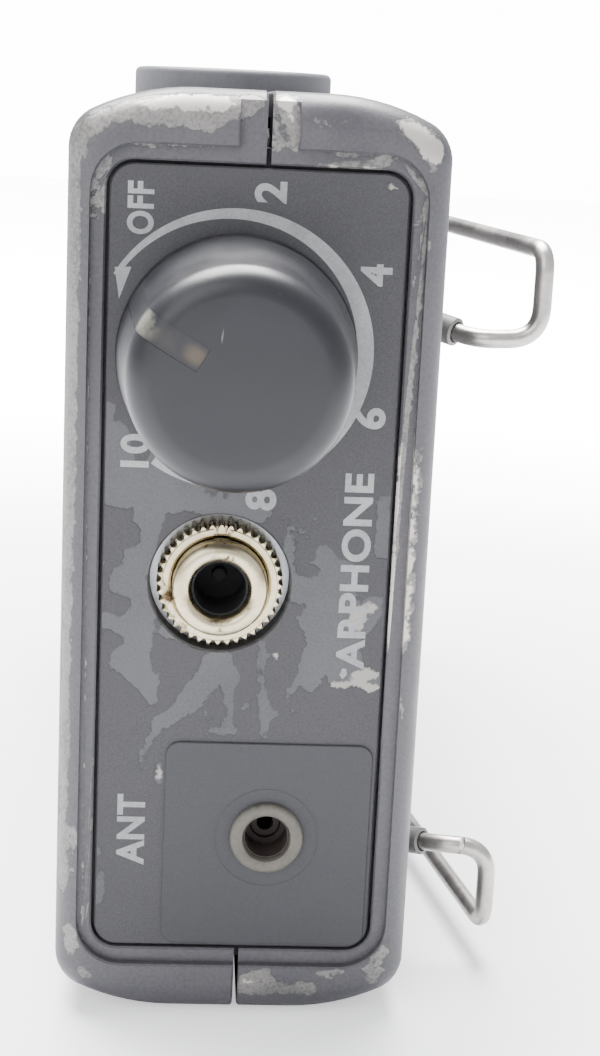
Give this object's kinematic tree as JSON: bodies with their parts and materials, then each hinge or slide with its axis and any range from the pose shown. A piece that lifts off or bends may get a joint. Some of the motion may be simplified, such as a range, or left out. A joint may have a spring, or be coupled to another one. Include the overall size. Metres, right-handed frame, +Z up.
{
  "type": "wireless bodypack receiver",
  "caption": "Belt-worn wireless receiver pack: die-cast case, volume knob, earphone jack, antenna socket, plug-in channel module, battery door and wire belt clip.",
  "frame": {"origin": "on the flat land of the lower narrow side that the pack stands on, in the middle of its length and thickness", "axes": "+Z up across the pack's width, +Y along its length away from the control panel, +X through its thickness towards the belt clip"},
  "size_m": [0.0314, 0.1035, 0.0619],
  "materials": {
    "case_paint": "hammered dark blue-grey enamel on die-cast aluminium, chipped to bare metal at the edges",
    "panel_print": "satin dark grey print on sheet aluminium, rubbed and worn",
    "pad_print": "matt dark grey label",
    "knob_plastic": "satin dark blue-grey moulded plastic",
    "pointer_paint": "aged cream paint in the pointer notch",
    "nickel": "nickel plate, warm and slightly dirty",
    "spring_steel": "satin drawn spring wire",
    "zinc_steel": "zinc plated steel",
    "brass": "plain brass",
    "aluminium": "plain aluminium",
    "black_plastic": "matt black moulded plastic",
    "sleeve_plastic": "dark grey heat-shrunk sleeve",
    "board_laminate": "green solder mask on glass-epoxy laminate",
    "phenolic": "brown phenolic",
    "battery_coat": "lacquered can",
    "foam": "dark closed-cell foam",
    "capacitor_sleeve": "blue shrink sleeve"
  },
  "bodies": {
    "case": {"front_shell": "case_paint", "back_shell": "case_paint", "control_panel": "panel_print", "antenna_pad": "pad_print", "pot_bushing": "brass", "pot_washer": "zinc_steel", "pot_nut": "nickel", "jack_bushing": "nickel", "jack_nut": "nickel", "antenna_bushing": "nickel", "door_hinge_pin": "spring_steel", "case_screw_1": "zinc_steel", "case_screw_2": "zinc_steel", "case_screw_3": "zinc_steel", "case_screw_4": "zinc_steel", "inner_bracket": "aluminium", "pot_body": "zinc_steel", "pot_terminal_1": "brass", "pot_terminal_2": "brass", "pot_terminal_3": "brass", "jack_body": "black_plastic", "jack_tip_spring": "brass", "jack_sleeve_terminal": "brass", "antenna_nut": "nickel", "antenna_insulator": "black_plastic", "antenna_contact": "brass", "channel_module_socket": "phenolic", "main_board": "board_laminate", "board_screw_1": "zinc_steel", "board_screw_2": "zinc_steel", "receiver_ic": "black_plastic", "audio_ic": "black_plastic", "coil_can_1": "aluminium", "coil_can_2": "aluminium", "coil_can_3": "aluminium", "crystal_filter": "zinc_steel", "capacitor_1": "capacitor_sleeve", "capacitor_2": "capacitor_sleeve", "trimmer_capacitor": "phenolic", "battery_can": "battery_coat", "battery_stud_plus": "zinc_steel", "battery_stud_minus": "zinc_steel", "snap_plate": "phenolic", "snap_contact_plus": "zinc_steel", "snap_contact_minus": "zinc_steel", "battery_foam": "foam"},
    "knob": {"volume_knob": "knob_plastic", "knob_pointer": "pointer_paint", "knob_set_screw": "zinc_steel", "pot_shaft": "aluminium"},
    "clip": {"belt_clip": "spring_steel", "clip_sleeve_upper": "sleeve_plastic", "clip_sleeve_lower": "sleeve_plastic"},
    "channel_module": {"channel_module_cap": "knob_plastic", "channel_module_body": "black_plastic", "channel_module_pin_1": "brass", "channel_module_pin_2": "brass", "channel_module_pin_3": "brass"},
    "door": {"battery_door": "case_paint"}
  },
  "joints": [
    {"name": "volume_turn", "type": "hinge", "parent": "case", "child": "knob", "pos_m": [-0.0011, -0.0515, 0.0442], "axis": [0, 1, 0], "range_deg": [0, 286]},
    {"name": "clip_flex", "type": "hinge", "parent": "case", "child": "clip", "pos_m": [0.0109, -0.034, 0.0268], "axis": [0, 0, -1], "range_deg": [0, 10], "stiffness_Nm_per_rad": 0.4},
    {"name": "channel_module_pull", "type": "slide", "parent": "case", "child": "channel_module", "axis": [0, 0, 1], "range_m": [0, 0.012]},
    {"name": "door_swing", "type": "hinge", "parent": "case", "child": "door", "pos_m": [0, 0.0446, 0.032], "axis": [1, 0, 0], "range_deg": [0, 95]}
  ]
}
